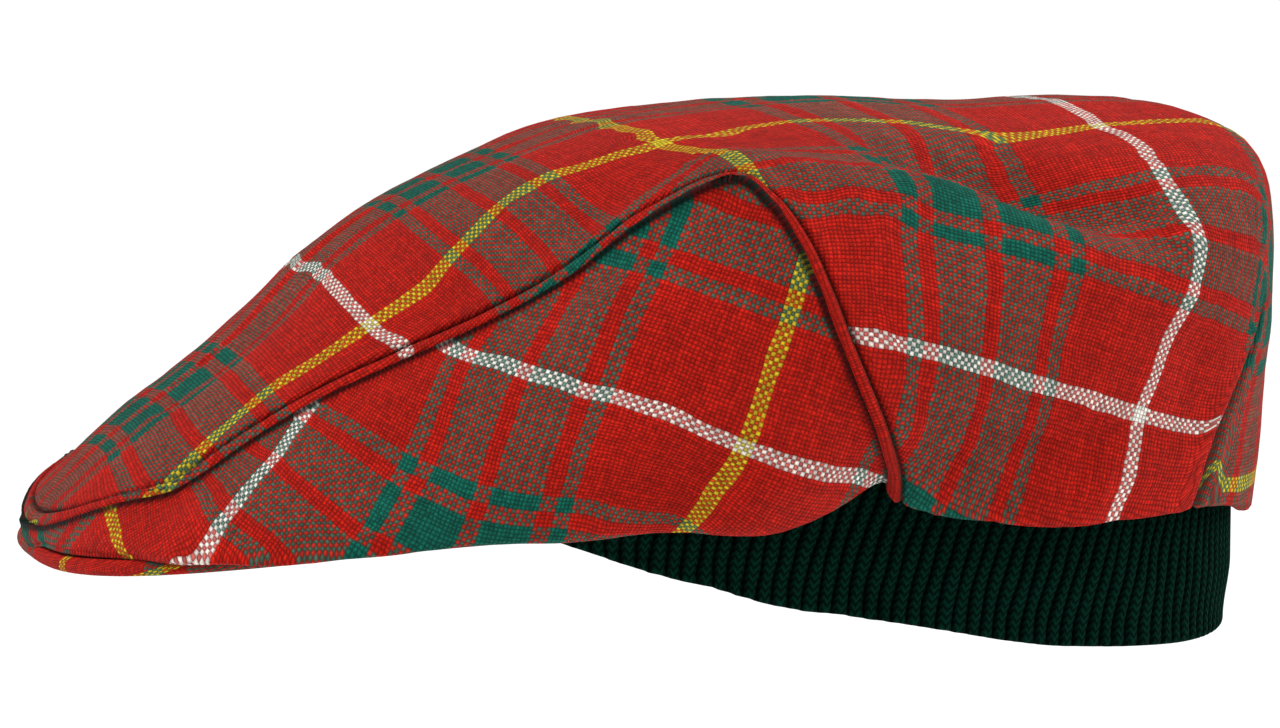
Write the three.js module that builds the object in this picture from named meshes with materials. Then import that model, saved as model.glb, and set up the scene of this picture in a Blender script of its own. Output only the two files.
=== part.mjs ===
// Tartan flat cap with a ribbed knit ear band. Millimetres, +Z up, peak towards -Y, wearer's left at +X.
// The origin is the middle of the head opening, at the height where the band meets the cloth.
import * as THREE from 'three';

// Driving dimensions
const clothWall = 2.0;        // tweed and its backing
const seamGap = 0.7;          // clearance between sewn neighbours
const peakThickness = 3.4;    // covered visor board
const peakHalfWidth = 82;
const peakTipY = -157.4;
const peakRootY = -66;
const peakFullness = 2.9;     // superellipse power of the visor outline
const browHalfWidth = 64;
const browFrontY = -98;
const browRootY = -62;
const bandHalfWidth = 85.2;   // outside of the ribs, at the ears
const bandBackY = 111.6;
const bandFullness = 2.7;
const bandWall = 3.0;
const bandCurl = 1.6;         // how far the lower edge turns in to the head
const ribPitch = 3.4;
const ribDepth = 0.9;
const rim = { tipZ: -18.2, rootZ: -8.9 };    // upper side of the visor at its outline
const brow = { tipZ: -5.0, rootZ: -6.0 };    // and at its inner edge

// Faceting
const crownSteps = { along: 38, across: 32 };
const panelSteps = { front: 8, side: 18, down: 10 };
const peakSteps = { across: 32, deep: 6 };
const bandSteps = { down: 2, angle: 0.25 };
const foldSteps = 12;
// How far from a seam the walls start to turn to it: shares of a section, or numbers of sections.
const seamMargin = { crownSide: 0.12, crownFront: 1.5, panelTop: 0.22, panelFront: 3, panelRear: 1.2 };
const mitreLimit = 1.8;       // how much longer than the cloth is thick a wall may be at a sharp seam
const rearPull = 2.5;         // sections over which a side panel is drawn on to its upright seam
const frontBlend = { start: 0.3, length: 0.5 };
const normalStep = { row: 0.05, crownSide: 0.01, panelDown: 0.015 };
const curlStart = 0.6;        // share of the band's height where its curl begins
const foldTaper = 1.5;        // how much narrower a fold is at its two ends

// Crown sections, from the front edge of the peak to the hem at the back. Each runs from the middle of the
// cap (x = 0) to the lapped edge on the wearer's left: mid is its middle point, reach how far it runs level
// from there, turn its second handle and edge its end.
const crownRows = table(
  ['midY', 'midZ', 'reach', 'turnX', 'turnY', 'turnZ', 'edgeX', 'edgeY', 'edgeZ'],
  [
    [-156.3, -14.8, 24, 42, -150.5, -7.2, 51, -138.5, -4.8],
    [-155.4, -11.8, 27, 47, -144, -1.8, 53.5, -133.5, -3.2],
    [-148.2, -2.4, 29, 51, -134, 3.7, 55, -126.5, 1],
    [-130.5, 12.4, 31, 53, -121, 13.8, 58, -117, 8],
    [-112.5, 27.4, 33, 56, -104, 24.6, 62, -103.5, 16.5],
    [-95, 44, 34, 58, -87, 34.8, 66, -88, 24],
    [-76, 56.9, 36, 62, -68, 47.3, 71, -70, 32.5],
    [-57, 64.7, 39, 69, -51, 61, 79, -54, 42.5],
    [-42, 70.2, 43, 76, -36, 67.5, 86, -40.5, 54],
    [-30, 73.4, 46, 83, -22, 69.8, 94, -24, 63.5],
    [-8, 76.5, 50, 89, -6, 69.5, 98.5, -17, 59],
    [20, 78.1, 54, 95, 16, 67.3, 101.5, -11.5, 50.5],
    [50, 76.9, 58, 101, 40, 63, 104, -7.5, 40.5],
    [84, 77.5, 66, 105, 66, 58.5, 105, -4, 31],
    [103.8, 75, 77, 106, 86, 51, 105, 0, 21.5],
    [114.5, 67.2, 83, 106.5, 92, 35, 102, 4.5, 12.5],
    [115.9, 42, 84, 104, 92, 16, 97.5, 8, 5.5],
    [114.6, 13, 80, 101, 89, -1, 94, 10, 2],
    [114.4, -8, 75, 97, 87, -17.5, 90.5, 11, 0.5],
    [114.3, -13.5, 73, 93, 85, -11.5, 88.2, 11.5, 2],
  ],
);
const apexRow = 9;            // the section that ends in the top corner of the side seams

// Side panel sections, on the wearer's left. seam is the place of the upper end on the crown's edge: -1 is
// the middle of the front edge, 0 its corner, and from there the crown section that ends at the same point.
// top and roll are the offsets of the two handles, and the lower end is at lowX, lowY, lowZ.
const panelRows = table(
  ['seam', 'topX', 'topY', 'topZ', 'rollX', 'rollY', 'rollZ', 'lowX', 'lowY', 'lowZ'],
  [
    [-1, 0.2, -0.3, -0.6, 0.2, -0.6, 0.2, 0, -156.3, -16.9],
    [-0.5, 0.6, -1.2, -1.5, 0.6, -1.4, 0.6, 32, -154, -16.4],
    [0, 5, -4, -3, 3, -2.5, 0, 59, -142, -15.1],
    [2, 9, -5, -4, 4.5, -3, -2, 71.5, -135, -15],
    [3, 11, -4.5, -5, 6, -3, -4.5, 77, -127, -14.2],
    [4, 13, -4, -6, 8, -3, -8, 81.5, -116, -13.5],
    [5, 15, -3, -7, 11, -2, -11, 85, -97, -11.3],
    [6, 17, -2, -9, 14, -1, -14, 86, -77, -8.8],
    [7, 18, 0, -11, 16, 0, -17, 87.5, -57, -7.5],
    [8, 16, 2, -14, 18, 0, -17.5, 88.2, -36, -5.1],
    [8.6, 13, 3, -12, 21, -2, -11.5, 88.2, -14, -2.4],
    [9, 11, 8, -5, 17, -6, 18, 88.2, 11.5, 2],
  ],
);

// Folds in the crown, pressed in along a line between two places on it. Row is the section number and side
// the share of the way to the edge; a positive rise is a ridge.
const crownFolds = table(
  ['fromRow', 'fromSide', 'toRow', 'toSide', 'width', 'rise'],
  [
    [7.8, 0.52, 9.4, 0.63, 14, 1.8],
    [9.4, 0.63, 11.4, 0.68, 14, 2.0],
    [11.4, 0.66, 12.6, 0.66, 14, 2.6],
    [12.6, 0.66, 14.2, 0.60, 15, 4.2],
    [9.4, 0.38, 11.6, 0.42, 22, -3.0],
    [11.6, 0.42, 13.9, 0.48, 20, -6.0],
  ],
);
const rightFoldShare = 0.5;   // the wearer's right has the same folds, half as deep

// Folds in the side panels, by section number and share of the way down.
const panelFolds = table(
  ['fromRow', 'fromSide', 'toRow', 'toSide', 'width', 'rise'],
  [
    [7.2, 0.20, 8.6, 0.34, 14, -2.5],
    [6.6, 0.62, 9.2, 0.70, 12, -1.5],
  ],
);

// Knit band, from the front end at the temple to the middle of the back: its angle around the head, upper and
// lower edge.
const bandRows = table(
  ['angle', 'topZ', 'lowZ'],
  [
    [-24, -5.0, -12.5],
    [-7, 2.0, -23.0],
    [2, 5.0, -30.8],
    [17, 4.0, -36.6],
    [29, 2.0, -38.6],
    [45, 0.0, -39.8],
    [65, -2.0, -39.6],
    [90, -3.0, -39.4],
  ],
);

const woven = new THREE.MeshStandardMaterial({ color: '#b3201a', roughness: 0.9, metalness: 0 });
const wovenShade = new THREE.MeshStandardMaterial({ color: '#8f2018', roughness: 0.9, metalness: 0 });
const knitted = new THREE.MeshStandardMaterial({ color: '#06281e', roughness: 0.95, metalness: 0 });

// A table becomes a list of records, one for each row.
function table(columns, rows) {
  return rows.map((row) => Object.fromEntries(columns.map((name, index) => [name, row[index]])));
}

// One column of a table at a place between its rows, on a smooth curve through them.
function columnAt(rows, name, place) {
  const last = rows.length - 1;
  const index = THREE.MathUtils.clamp(Math.floor(place), 0, last - 1);
  const share = place - index;
  const value = (step) => rows[THREE.MathUtils.clamp(index + step, 0, last)][name];
  const before = index > 0 ? value(-1) : 2 * value(0) - value(1);
  const after = index < last - 1 ? value(2) : 2 * value(1) - value(0);
  const slopeIn = (value(1) - before) / 2;
  const slopeOut = (after - value(0)) / 2;
  return hermite(value(0), value(1), slopeIn, slopeOut, share);
}

function hermite(start, end, slopeIn, slopeOut, share) {
  const square = share * share;
  const cube = square * share;
  return start * (2 * cube - 3 * square + 1) + end * (3 * square - 2 * cube)
    + slopeIn * (cube - 2 * square + share) + slopeOut * (cube - square);
}

function smoothStep(share) {
  const held = THREE.MathUtils.clamp(share, 0, 1);
  return held * held * (3 - 2 * held);
}

// The crown's cloth without its folds. side runs from 0 in the middle to 1 at the edge, and below 0 on the
// wearer's right.
function crownBase(row, side) {
  const at = (name) => columnAt(crownRows, name, row);
  const section = new THREE.CubicBezierCurve3(
    new THREE.Vector3(0, at('midY'), at('midZ')),
    new THREE.Vector3(at('reach'), at('midY'), at('midZ')),
    new THREE.Vector3(at('turnX'), at('turnY'), at('turnZ')),
    new THREE.Vector3(at('edgeX'), at('edgeY'), at('edgeZ')),
  );
  const point = section.getPoint(Math.abs(side));
  if (side < 0) point.x = -point.x;
  return point;
}

// A place on the crown's edge, numbered as in panelRows.
function crownEdge(seam) {
  return seam < 0 ? crownBase(0, 1 + seam) : crownBase(seam, 1);
}

// The left side panel without its folds. down runs from 0 at the crown's edge to 1 at the rim.
function panelBase(row, down) {
  const lastRow = panelRows.length - 1;
  const loose = panelSection(row, down);
  const seamLine = crownEdge(apexRow + (crownRows.length - 1 - apexRow) * down);
  const toSeam = seamLine.sub(panelSection(lastRow, down));
  const pull = smoothStep(1 - (lastRow - row) / rearPull);
  return loose.addScaledVector(toSeam, pull);
}

// The place on the crown's edge where a panel section starts.
function seamAt(row) {
  const index = THREE.MathUtils.clamp(Math.floor(row), 0, panelRows.length - 2);
  return THREE.MathUtils.lerp(panelRows[index].seam, panelRows[index + 1].seam, row - index);
}

function panelSection(row, down) {
  const at = (name) => columnAt(panelRows, name, row);
  const top = crownEdge(THREE.MathUtils.clamp(seamAt(row), -1, apexRow));
  const low = new THREE.Vector3(at('lowX'), at('lowY'), at('lowZ'));
  const section = new THREE.CubicBezierCurve3(
    top,
    top.clone().add(new THREE.Vector3(at('topX'), at('topY'), at('topZ'))),
    low.clone().add(new THREE.Vector3(at('rollX'), at('rollY'), at('rollZ'))),
    low,
  );
  return section.getPoint(down);
}

// How far the folds lift a surface at one place. Distances are measured on the surface's own sections.
function foldRise(folds, surface, row, side) {
  const here = surface(row, side);
  let rise = 0;
  for (const fold of folds) {
    const nearest = Math.min(...Array.from({ length: foldSteps + 1 }, (_, step) => {
      const share = step / foldSteps;
      const foldRow = THREE.MathUtils.lerp(fold.fromRow, fold.toRow, share);
      const foldSide = THREE.MathUtils.lerp(fold.fromSide, fold.toSide, share);
      const taper = 1 + foldTaper * Math.abs(2 * share - 1) ** 3;
      return taper * here.distanceTo(surface(foldRow, foldSide));
    }));
    rise += fold.rise * Math.exp(-2 * (nearest / fold.width) ** 2);
  }
  return rise;
}

function surfaceNormal(surface, row, side, step) {
  const fromRowToRow = surface(row + step.row, side).sub(surface(row - step.row, side));
  const alongRow = surface(row, side + step.side).sub(surface(row, side - step.side));
  return alongRow.cross(fromRowToRow).normalize();
}

// The crown's outward normal on its left half, and the left panel's, held just inside their own edges.
function crownNormal(row, side) {
  const step = { row: normalStep.row, side: normalStep.crownSide };
  const insideRow = THREE.MathUtils.clamp(row, step.row, crownRows.length - 1 - step.row);
  const insideSide = THREE.MathUtils.clamp(side, step.side, 1 - step.side);
  return surfaceNormal(crownBase, insideRow, insideSide, step);
}

function panelNormal(row, down) {
  const step = { row: normalStep.row, side: normalStep.panelDown };
  const insideRow = THREE.MathUtils.clamp(row, step.row, panelRows.length - 1 - step.row);
  const insideDown = THREE.MathUtils.clamp(down, step.side, 1 - step.side);
  return surfaceNormal(panelBase, insideRow, insideDown, step);
}

// The inward step that both walls take at a place on their seam, half way between their own, so that the two
// ends stand side by side there.
function seamStep(seam) {
  const crownSide = seam < 0 ? crownNormal(0, 1 + seam) : crownNormal(seam, 1);
  const lastRow = panelRows.length - 1;
  const lastSeam = crownRows.length - 1;
  const panelSide = seam > apexRow
    ? panelNormal(lastRow, (seam - apexRow) / (lastSeam - apexRow))
    : panelNormal(panelRowAt(seam), 0);
  const between = crownSide.clone().add(panelSide).normalize();
  const stretch = 1 / Math.max(between.dot(crownSide), 1 / mitreLimit);
  return between.multiplyScalar(-clothWall * stretch);
}

function panelRowAt(seam) {
  const next = panelRows.findIndex((row, index) => index > 0 && row.seam >= seam);
  const from = panelRows[next - 1].seam;
  return next - 1 + (seam - from) / (panelRows[next].seam - from);
}

// The inward step of a wall at a place that is a share of the seam's margin away from the seam.
function wallStep(normal, seam, marginShare) {
  const square = normal.clone().multiplyScalar(-clothWall);
  return marginShare >= 1 ? square : square.lerp(seamStep(seam), smoothStep(1 - marginShare));
}

// A closed wall between an outer and an inner grid of points, which have the same rows and columns.
function wall(outer, inner) {
  const rows = outer.length;
  const columns = outer[0].length;
  const count = rows * columns;
  const positions = [...outer.flat(), ...inner.flat()].flatMap((point) => [point.x, point.y, point.z]);
  const outerAt = (row, column) => row * columns + column;
  const innerAt = (row, column) => count + row * columns + column;
  const faces = [];
  const quad = (a, b, c, d) => faces.push(a, b, c, a, c, d);
  const edge = (rowA, columnA, rowB, columnB) => {
    quad(outerAt(rowA, columnA), outerAt(rowB, columnB), innerAt(rowB, columnB), innerAt(rowA, columnA));
  };
  const lastRow = rows - 1;
  const lastColumn = columns - 1;
  for (let row = 0; row < lastRow; row += 1) {
    for (let column = 0; column < lastColumn; column += 1) {
      const next = row + 1;
      const right = column + 1;
      quad(outerAt(row, column), outerAt(row, right), outerAt(next, right), outerAt(next, column));
      quad(innerAt(row, column), innerAt(next, column), innerAt(next, right), innerAt(row, right));
    }
    edge(row, 0, row + 1, 0);
    edge(row + 1, lastColumn, row, lastColumn);
  }
  for (let column = 0; column < lastColumn; column += 1) {
    edge(0, column + 1, 0, column);
    edge(lastRow, column, lastRow, column + 1);
  }
  const geometry = new THREE.BufferGeometry();
  geometry.setAttribute('position', new THREE.Float32BufferAttribute(positions, 3));
  geometry.setIndex(faces);
  geometry.computeVertexNormals();
  return geometry;
}

function grid(rows, columns, pointAt) {
  return Array.from({ length: rows + 1 }, (_, row) => (
    Array.from({ length: columns + 1 }, (__, column) => pointAt(row / rows, column / columns))
  ));
}

function crownGeometry() {
  const lastRow = crownRows.length - 1;
  const wallAt = (rowShare, sideShare) => {
    const row = rowShare * lastRow;
    const side = Math.abs(2 * sideShare - 1);
    const mirror = new THREE.Vector3(sideShare < 0.5 ? -1 : 1, 1, 1);
    const normal = crownNormal(row, side);
    const sideMargin = (1 - side) / seamMargin.crownSide;
    const frontMargin = row / seamMargin.crownFront;
    const depth = smoothStep(sideMargin) * (sideShare < 0.5 ? rightFoldShare : 1);
    const rise = foldRise(crownFolds, crownBase, row, side) * depth;
    const point = crownBase(row, side).addScaledVector(normal, rise);
    const seam = frontMargin < sideMargin ? side - 1 : row;
    const step = wallStep(normal, seam, Math.min(sideMargin, frontMargin));
    return { outer: point.clone().multiply(mirror), inner: point.add(step).multiply(mirror) };
  };
  const places = grid(crownSteps.along, crownSteps.across, wallAt);
  const outer = places.map((row) => row.map((place) => place.outer));
  const inner = places.map((row) => row.map((place) => place.inner));
  return wall(outer, inner);
}

function panelGeometry(sideSign) {
  const lastRow = panelRows.length - 1;
  const wallAt = (seamStart, down) => {
    const row = panelRowAt(seamStart);
    const normal = panelNormal(row, down);
    const frontShare = smoothStep((-seamStart - frontBlend.start) / frontBlend.length);
    const topMargin = down / THREE.MathUtils.lerp(seamMargin.panelTop, seamMargin.panelFront, frontShare);
    const rearMargin = (lastRow - row) / seamMargin.panelRear;
    const depth = smoothStep(Math.min(topMargin, rearMargin)) * smoothStep((1 - down) / seamMargin.panelTop);
    const rise = foldRise(panelFolds, panelBase, row, down) * depth;
    const point = panelBase(row, down).addScaledVector(normal, rise);
    const lastSeam = crownRows.length - 1;
    const seam = rearMargin < topMargin
      ? apexRow + (lastSeam - apexRow) * down
      : seamAt(row);
    return { point, step: wallStep(normal, seam, Math.min(topMargin, rearMargin)) };
  };
  const seams = [
    ...Array.from({ length: panelSteps.front }, (_, step) => step / panelSteps.front - 1),
    ...Array.from({ length: panelSteps.side + 1 }, (_, step) => (step * apexRow) / panelSteps.side),
  ];
  const places = seams.map((seam) => (
    Array.from({ length: panelSteps.down + 1 }, (_, step) => wallAt(seam, step / panelSteps.down))
  ));
  insetEdge(places);
  const mirror = new THREE.Vector3(sideSign, 1, 1);
  const outer = places.map((row) => row.map((place) => place.point.clone().multiply(mirror)));
  const inner = places.map((row) => row.map((place) => place.point.clone().add(place.step).multiply(mirror)));
  return sideSign > 0 ? wall(outer, inner) : wall(inner, outer);
}

// Draws a panel's upper, front and rear edges back along its own surface, so that they clear the neighbours.
function insetEdge(places) {
  const last = places.length - 1;
  const step = (from, towards) => {
    const direction = towards.point.clone().sub(from.point).normalize();
    from.point.addScaledVector(direction, seamGap);
  };
  for (const row of places) step(row[0], row[1]);
  places[0].forEach((place, column) => step(place, places[1][column]));
  places[last].forEach((place, column) => step(place, places[last - 1][column]));
}

// A quarter of a superellipse, from its front or back point (turn 0) to its side (turn 90 degrees).
function superellipse(halfWidth, depth, fullness, turn) {
  const power = 2 / fullness;
  const across = Math.sign(Math.sin(turn)) * Math.abs(Math.sin(turn)) ** power;
  const along = Math.sign(Math.cos(turn)) * Math.abs(Math.cos(turn)) ** power;
  return { x: halfWidth * across, y: depth * along };
}

function peakGeometry() {
  const topAt = (deepShare, acrossShare) => {
    const turn = (acrossShare - 0.5) * Math.PI;
    const outline = superellipse(peakHalfWidth, peakTipY - peakRootY, peakFullness, turn);
    const lift = 1 - Math.cos(turn);
    const rimZ = THREE.MathUtils.lerp(rim.tipZ, rim.rootZ, lift);
    const outer = new THREE.Vector3(outline.x, peakRootY + outline.y, rimZ);
    const inner = new THREE.Vector3(
      browHalfWidth * Math.sin(turn),
      THREE.MathUtils.lerp(browFrontY, browRootY, lift),
      THREE.MathUtils.lerp(brow.tipZ, brow.rootZ, lift),
    );
    return outer.lerp(inner, deepShare);
  };
  const top = grid(peakSteps.deep, peakSteps.across, topAt);
  const bottom = top.map((row) => row.map((point) => point.clone().setZ(point.z - peakThickness)));
  return wall(top, bottom);
}

// The outside of the ribs at an angle around the head, from above.
function bandOutline(angle) {
  const turn = THREE.MathUtils.degToRad(90 - angle);
  const point = superellipse(bandHalfWidth, bandBackY, bandFullness, turn);
  return new THREE.Vector2(point.x, point.y);
}

// The angles of the ribs and of the grooves between them, in turn, from one end of the band to the other.
function ribAngles() {
  const start = bandRows[0].angle;
  const steps = Math.round((180 - 2 * start) / bandSteps.angle);
  const route = Array.from({ length: steps + 1 }, (_, step) => bandOutline(start + step * bandSteps.angle));
  const lengths = [0];
  for (let step = 1; step <= steps; step += 1) {
    lengths.push(lengths[step - 1] + route[step].distanceTo(route[step - 1]));
  }
  const length = lengths[steps];
  const columns = 4 * Math.round(length / ribPitch / 2);
  return Array.from({ length: columns + 1 }, (_, column) => {
    const distance = (length * column) / columns;
    const after = lengths.findIndex((value, step) => step === steps || (step > 0 && value >= distance));
    const share = (distance - lengths[after - 1]) / (lengths[after] - lengths[after - 1]);
    return start + bandSteps.angle * (after - 1 + share);
  });
}

// A place on the band at a depth under the ribs.
function bandPoint(angle, down, depth) {
  const fold = Math.min(angle, 180 - angle);
  const last = bandRows.length - 1;
  const after = bandRows.findIndex((row, index) => index === last || (index > 0 && row.angle >= fold));
  const before = bandRows[after - 1].angle;
  const place = after - 1 + (fold - before) / (bandRows[after].angle - before);
  const tangent = bandOutline(angle + bandSteps.angle).sub(bandOutline(angle - bandSteps.angle)).normalize();
  const inward = new THREE.Vector2(-tangent.y, tangent.x);
  const curl = bandCurl * smoothStep((down - curlStart) / (1 - curlStart));
  const point = bandOutline(angle).addScaledVector(inward, depth + curl);
  const z = THREE.MathUtils.lerp(columnAt(bandRows, 'topZ', place), columnAt(bandRows, 'lowZ', place), down);
  return new THREE.Vector3(point.x, point.y, z);
}

function bandGeometry() {
  const surface = (depthAt) => ribAngles().map((angle, column) => (
    Array.from({ length: bandSteps.down + 1 }, (_, step) => (
      bandPoint(angle, step / bandSteps.down, depthAt(column))
    ))
  ));
  return wall(surface((column) => (column % 2 === 0 ? ribDepth : 0)), surface(() => bandWall));
}

function part(name, geometry, material) {
  const mesh = new THREE.Mesh(geometry, material);
  mesh.name = name;
  return mesh;
}

const cap = new THREE.Group();
cap.add(part('crown', crownGeometry(), woven));
cap.add(part('side_panel_left', panelGeometry(1), wovenShade));
cap.add(part('side_panel_right', panelGeometry(-1), wovenShade));
cap.add(part('peak', peakGeometry(), woven));
cap.add(part('knit_band', bandGeometry(), knitted));

export default cap;
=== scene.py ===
import math
from functools import partial
import bpy
import bmesh
import numpy as np
from mathutils import Matrix, Vector, noise
from mathutils.bvhtree import BVHTree
from mathutils.interpolate import poly_3d_calc
from mathutils.kdtree import KDTree


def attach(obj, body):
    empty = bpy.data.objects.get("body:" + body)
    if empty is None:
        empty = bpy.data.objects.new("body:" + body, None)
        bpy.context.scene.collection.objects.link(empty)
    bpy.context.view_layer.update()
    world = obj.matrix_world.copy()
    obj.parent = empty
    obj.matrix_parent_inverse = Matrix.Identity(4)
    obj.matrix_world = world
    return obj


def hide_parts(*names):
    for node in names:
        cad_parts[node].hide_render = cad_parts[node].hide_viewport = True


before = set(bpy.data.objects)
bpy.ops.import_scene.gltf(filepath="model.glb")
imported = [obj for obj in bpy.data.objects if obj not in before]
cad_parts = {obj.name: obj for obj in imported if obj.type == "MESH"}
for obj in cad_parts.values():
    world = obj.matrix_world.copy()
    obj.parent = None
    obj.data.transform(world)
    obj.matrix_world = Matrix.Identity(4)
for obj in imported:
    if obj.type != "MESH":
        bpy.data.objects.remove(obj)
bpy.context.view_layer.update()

# Flat cap in red tartan tweed with a ribbed knit ear band. Tables are in millimetres, in the frame
# of the part: +Z up, the peak towards -Y, the wearer's left at +X.
mm = 0.001

camera = {
    "azimuth": 76, "elevation": 4.5,  # degrees
    "distance": 1.3, "target": (0, -0.0196, 0.0185),  # metres
    "lens": 163.4, "sensor": 36,  # mm
    "frame": (1280, 728),  # pixels
}


# Directions away from the target, to the right and upwards, as the camera sees them.
def cameraWays():
    azimuth, elevation = math.radians(camera["azimuth"]), math.radians(camera["elevation"])
    level = math.cos(elevation)
    away = Vector((level * math.sin(azimuth), -level * math.cos(azimuth), math.sin(elevation)))
    right = Vector((0, 0, 1)).cross(away).normalized()
    return away, right, away.cross(right)


# Places on a sheet that show at given spots of the camera's frame, each with its line's number.
def seenPlaces(lines, sheet):
    rows, columns = sheet.shape[:2]
    index = np.arange(rows * columns).reshape(rows, columns)
    corners = (index[:-1, :-1], index[:-1, 1:], index[1:, 1:], index[1:, :-1])
    quads = np.stack(corners, -1).reshape(-1, 4)
    tree = BVHTree.FromPolygons([tuple(v) for v in sheet.reshape(-1, 3)], quads.tolist())
    away, right, up = cameraWays()
    eye = (Vector(camera["target"]) + away * camera["distance"]) / mm
    width, height = camera["frame"]
    focal = camera["lens"] / camera["sensor"] * width
    places, numbers = [], []
    for number, spots in lines:
        for x, y in spots:
            ray = right * (x - width / 2) + up * (height / 2 - y) - away * focal
            hit = tree.ray_cast(eye, ray)[0]
            if hit:
                places.append(hit)
                numbers.append(number)
    return np.array(places), np.array(numbers, float)


def table(columns, rows):
    return dict(zip(columns, np.array(rows, float).T))


def smoothStep(share):
    held = np.clip(share, 0, 1)
    return held * held * (3 - 2 * held)


# Weights that blend a table's rows at places between them, on a smooth curve through the rows.
def splineWeights(places, count):
    places = np.atleast_1d(np.asarray(places, float))
    start = np.clip(places.astype(int), 0, count - 2)
    t = places - start
    line = np.arange(len(places))
    weights = np.zeros((len(places), count))
    slopeIn = t ** 3 - 2 * t ** 2 + t
    slopeOut = t ** 3 - t ** 2
    atFirst = start == 0
    atLast = start == count - 2
    for index, share in (
        (start, 2 * t ** 3 - 3 * t ** 2 + 1),
        (start + 1, 3 * t ** 2 - 2 * t ** 3),
        (start + 1, np.where(atFirst, slopeIn, slopeIn / 2)),
        (np.where(atFirst, start, start - 1), -np.where(atFirst, slopeIn, slopeIn / 2)),
        (np.where(atLast, start + 1, start + 2), np.where(atLast, slopeOut, slopeOut / 2)),
        (start, -np.where(atLast, slopeOut, slopeOut / 2)),
    ):
        np.add.at(weights, (line, index), share)
    return weights


def rowsAt(sections, places):
    count = len(next(iter(sections.values())))
    weights = splineWeights(places, count)
    return {name: weights @ column for name, column in sections.items()}


def between(a, b, share):
    return a + (b - a) * share


def stack(x, y, z):
    return np.stack(np.broadcast_arrays(x, y, z), axis=-1).astype(float)


def bezier(a, b, c, d, share):
    t = np.asarray(share, float)[..., None]
    return (1 - t) ** 3 * a + 3 * (1 - t) ** 2 * t * b + 3 * (1 - t) * t * t * c + t ** 3 * d


# Length along a line of points, up to each of them.
def arcLength(line):
    return np.concatenate([[0], np.cumsum(np.linalg.norm(np.diff(line, axis=0), axis=1))])


crown = {
    "wall": 1.8,
    "rows": 150, "middleColumns": 34, "sideColumns": 40,
    "apexRow": 9,  # section where the long seam meets the upright one
    "seatRow": 19,  # last section, at the hem
    "pull": 14,  # how hard the marks hold the weave
    "rightFoldShare": 0.5,  # folds and sag of the wearer's right side
    "rightSag": 2.5, "sagStart": 0.28, "sagRise": 0.17, "sagEnd": 0.3,
    "plainMargin": 2, "foldMargin": 12,  # mm beside the seams without folds, and where they grow
    "hemStart": 16.2, "hemRise": 2.4,  # sections over which the hem is drawn up or down
    "lapWidth": 3.5, "lapEnd": 1.5, "lapLumps": 0.35, "lumpSize": 9,  # mm
    "dartGap": 5,  # mm on both sides of the dart with closer columns
    "steps": (7, 6),  # mm from row to row and column to column, laid flat
}

# Sections of the left half, from the front edge to the hem at the back. Each leaves the middle
# (mid) level, with a handle as long as its reach, and ends at the lapped edge, its handle at turn.
crownSections = table(
    ["midY", "midZ", "reach", "turnX", "turnY", "turnZ", "edgeX", "edgeY", "edgeZ"],
    [
        [-156.3, -14.8, 24, 42, -150.5, -7.2, 51, -138.5, -4.8],
        [-155.4, -11.8, 27, 47, -144, -1.8, 53.5, -133.5, -3.2],
        [-148.2, -2.4, 29, 51, -134, 3.7, 55, -126.5, 1],
        [-130.5, 12.4, 31, 53, -121, 13.8, 58, -117, 8],
        [-112.5, 27.4, 33, 56, -104, 24.6, 62, -103.5, 16.5],
        [-95, 44, 34, 58, -87, 34.8, 66, -88, 24],
        [-76, 56.9, 36, 62, -68, 47.3, 71, -70, 32.5],
        [-57, 64.7, 39, 69, -51, 61, 79, -54, 42.5],
        [-42, 70.2, 43, 76, -36, 67.5, 86, -40.5, 54],
        [-30, 73.4, 46, 83, -22, 69.8, 94, -24, 63.5],
        [-8, 76.5, 50, 89, -6, 69.5, 98.5, -17, 59],
        [20, 78.1, 54, 95, 16, 67.3, 101.5, -11.5, 50.5],
        [50, 76.9, 58, 101, 40, 63, 104, -7.5, 40.5],
        [84, 77.5, 66, 105, 66, 58.5, 105, -4, 31],
        [103.8, 75, 77, 106, 86, 51, 105, 0, 21.5],
        [114.5, 67.2, 83, 106.5, 92, 35, 102, 4.5, 12.5],
        [115.9, 42, 84, 104, 92, 16, 97.5, 8, 5.5],
        [114.6, 13, 80, 101, 89, -1, 94, 10, 2],
        [114.4, -8, 75, 97, 87, -17.5, 90.5, 11, 0.5],
        [114.3, -13.5, 73, 93, 85, -11.5, 88.2, 11.5, 2],
    ],
)

# Sections of a side panel, from a place along the crown's edge (seam) to the rim (low), with their
# handles as steps away from both ends (top, roll).
panelSections = table(
    ["seam", "topX", "topY", "topZ", "rollX", "rollY", "rollZ", "lowX", "lowY", "lowZ"],
    [
        [-1, 0.2, -0.3, -0.6, 0.2, -0.6, 0.2, 0, -156.3, -16.9],
        [-0.5, 0.6, -1.2, -1.5, 0.6, -1.4, 0.6, 32, -154, -16.4],
        [0, 5, -4, -3, 3, -2.5, 0, 59, -142, -15.1],
        [2, 9, -5, -4, 4.5, -3, -2, 71.5, -135, -15],
        [3, 11, -4.5, -5, 6, -3, -4.5, 77, -127, -14.2],
        [4, 13, -4, -6, 8, -3, -8, 81.5, -116, -13.5],
        [5, 15, -3, -7, 11, -2, -11, 85, -97, -11.3],
        [6, 17, -2, -9, 14, -1, -14, 86, -77, -8.8],
        [7, 18, 0, -11, 16, 0, -17, 87.5, -57, -7.5],
        [8, 16, 2, -14, 18, 0, -17.5, 88.2, -36, -5.1],
        [8.6, 13, 3, -12, 21, -2, -11.5, 88.2, -14, -2.4],
        [9, 11, 8, -5, 17, -6, 18, 88.2, 11.5, 2],
    ],
)

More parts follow.
